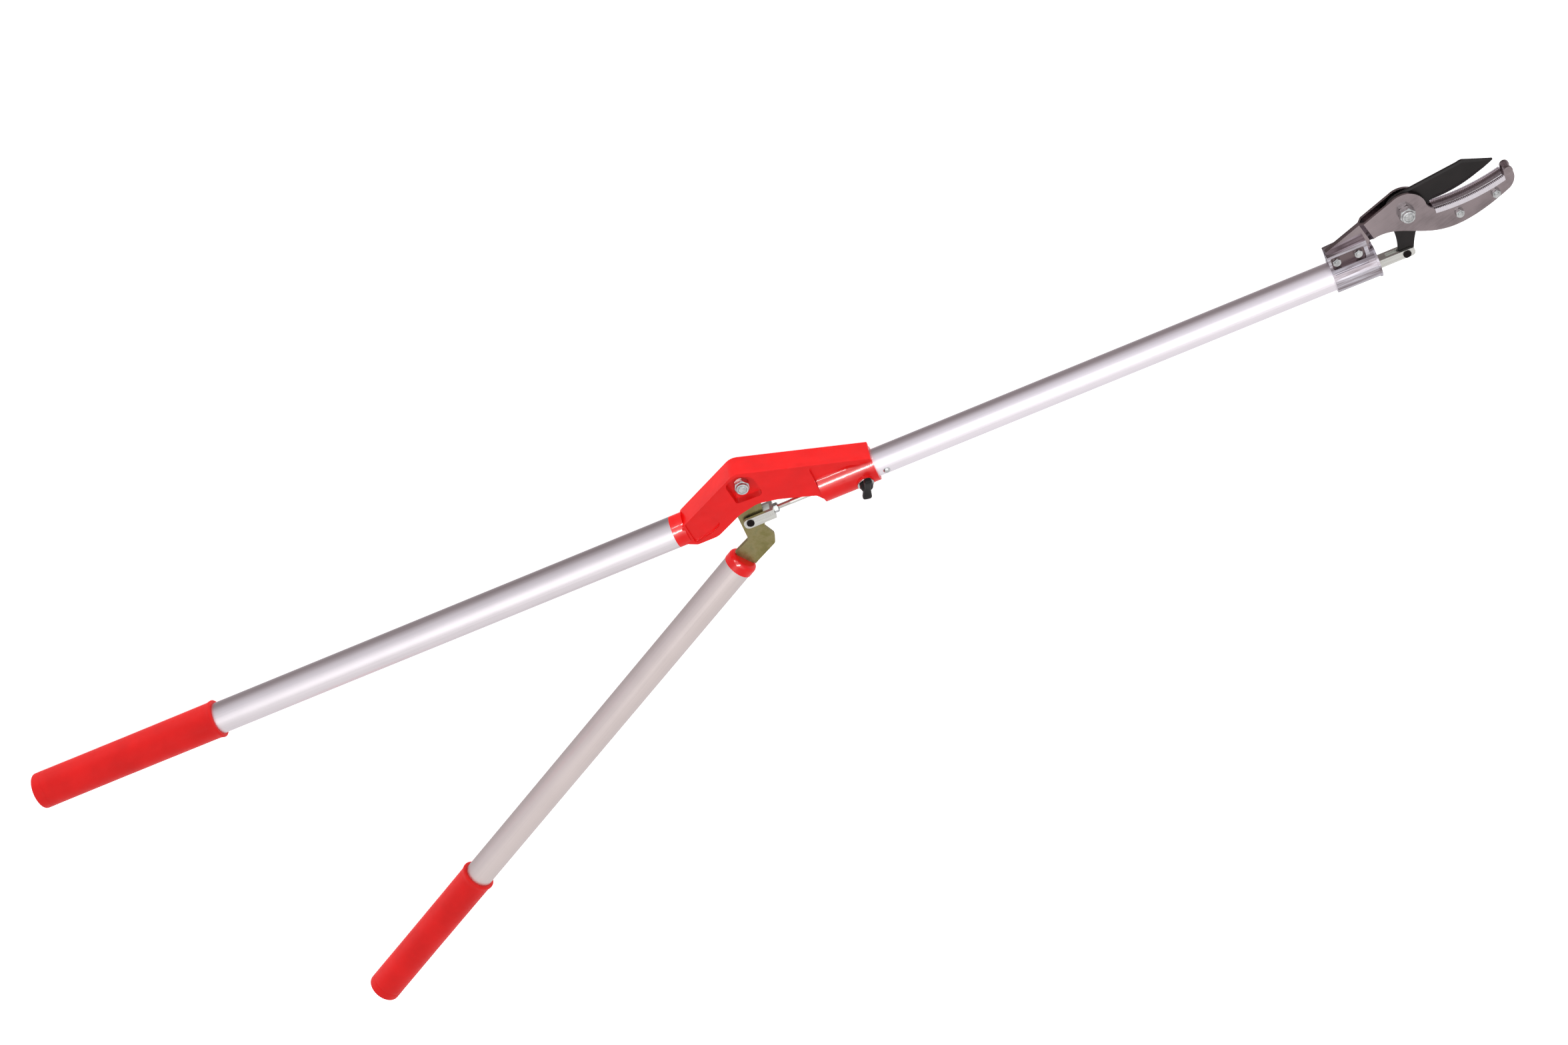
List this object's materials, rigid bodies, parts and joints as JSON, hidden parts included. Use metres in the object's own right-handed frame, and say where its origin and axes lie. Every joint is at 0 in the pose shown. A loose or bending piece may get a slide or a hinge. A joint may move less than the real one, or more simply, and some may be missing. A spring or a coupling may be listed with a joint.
{
  "type": "long-reach pruner",
  "caption": "Long-reach cut-and-hold pruner with a pole, a hinged hand lever, a pull rod and a bypass blade that closes into a serrated holding jaw.",
  "frame": {"origin": "on the front tube's axis at the housing's front rim, on the mid-plane of the tool", "axes": "+X along the front tube towards the head; +Z along the pivot bolts towards their nuts, and up when the tool lies flat; +Y from the pole's axis towards the two pivots, so the lever hangs to -Y"},
  "size_m": [1.4562, 0.4601, 0.0472],
  "materials": {
    "red_housing": "glossy moulded red, as on the pivot housing and the lever's plug",
    "red_grip": "soft satin red sleeve",
    "front_tube_aluminium": "satin anodised, cool and light",
    "rear_tube_aluminium": "satin anodised",
    "lever_tube_aluminium": "satin anodised, a little warmer",
    "zinc_bolts": "bright zinc plate",
    "zinc_clevis": "white zinc plate",
    "yellow_chromate_steel": "olive-yellow chromate over zinc",
    "polished_collar": "polished",
    "plate_steel": "polished and brushed stamping",
    "strip_steel": "bright serrated strip",
    "channel_steel": "polished channel between the side plates",
    "blade_black": "black low-friction coat, satin",
    "black_nylon": "black nylon",
    "black_pins": "black oxide"
  },
  "bodies": {
    "frame": {"housing": "red_housing", "pivot_bolt": "zinc_bolts", "pivot_nut": "zinc_bolts", "pivot_thrust_rings": "black_nylon", "rear_tube": "rear_tube_aluminium", "rear_grip": "red_grip", "front_tube": "front_tube_aluminium", "stop_rivet": "zinc_bolts", "rod_guide": "black_nylon", "head_collar": "polished_collar", "collar_bolts": "zinc_bolts", "collar_nuts": "zinc_bolts", "side_plate_near": "plate_steel", "side_plate_far": "plate_steel", "jaw_strip_near": "strip_steel", "jaw_strip_far": "strip_steel", "jaw_core": "channel_steel", "jaw_screws": "zinc_bolts", "jaw_nuts": "zinc_bolts", "tip_spacer": "plate_steel", "blade_pivot_bolt": "zinc_bolts", "blade_pivot_nut": "zinc_bolts", "blade_spacers": "black_nylon"},
    "lever": {"lever_plate": "yellow_chromate_steel", "pivot_bush": "black_nylon", "lever_cap": "red_housing", "lever_tube": "lever_tube_aluminium", "lever_grip": "red_grip"},
    "rod": {"pull_rod": "zinc_clevis", "rear_clevis": "zinc_clevis", "rear_link_pin": "black_pins", "rear_link_clip": "black_pins", "rear_link_rings": "black_nylon", "rear_lock_nut": "zinc_bolts", "front_lock_nut": "zinc_bolts", "front_clevis": "zinc_clevis", "front_link_pin": "black_pins", "front_link_clip": "black_pins"},
    "blade": {"blade": "blade_black"},
    "clamp": {"clamp_screw": "zinc_bolts", "wing_knob": "black_nylon", "clamp_washer": "zinc_bolts"}
  },
  "joints": [
    {"name": "lever_pivot", "type": "hinge", "parent": "frame", "child": "lever", "pos_m": [-0.1155, 0.038, 0], "axis": [0, 0, 1], "range_deg": [-13, 25]},
    {"name": "rod_pivot", "type": "hinge", "parent": "lever", "child": "rod", "pos_m": [-0.12496, -0.00466, 0], "axis": [0, 0, 1], "range_deg": [-25, 13]},
    {"name": "blade_pivot", "type": "hinge", "parent": "frame", "child": "blade", "pos_m": [0.5105, 0.038, 0], "axis": [0, 0, 1], "range_deg": [-13, 25]},
    {"name": "clamp_turn", "type": "hinge", "parent": "frame", "child": "clamp", "pos_m": [-0.0135, -0.00575, 0.01579], "axis": [0, -0.342, 0.9397], "range_deg": [0, 360]}
  ],
  "couplings": [
    {"joint": "rod_pivot", "follows": "lever_pivot", "ratio": -1},
    {"joint": "blade_pivot", "follows": "lever_pivot", "ratio": 1}
  ]
}
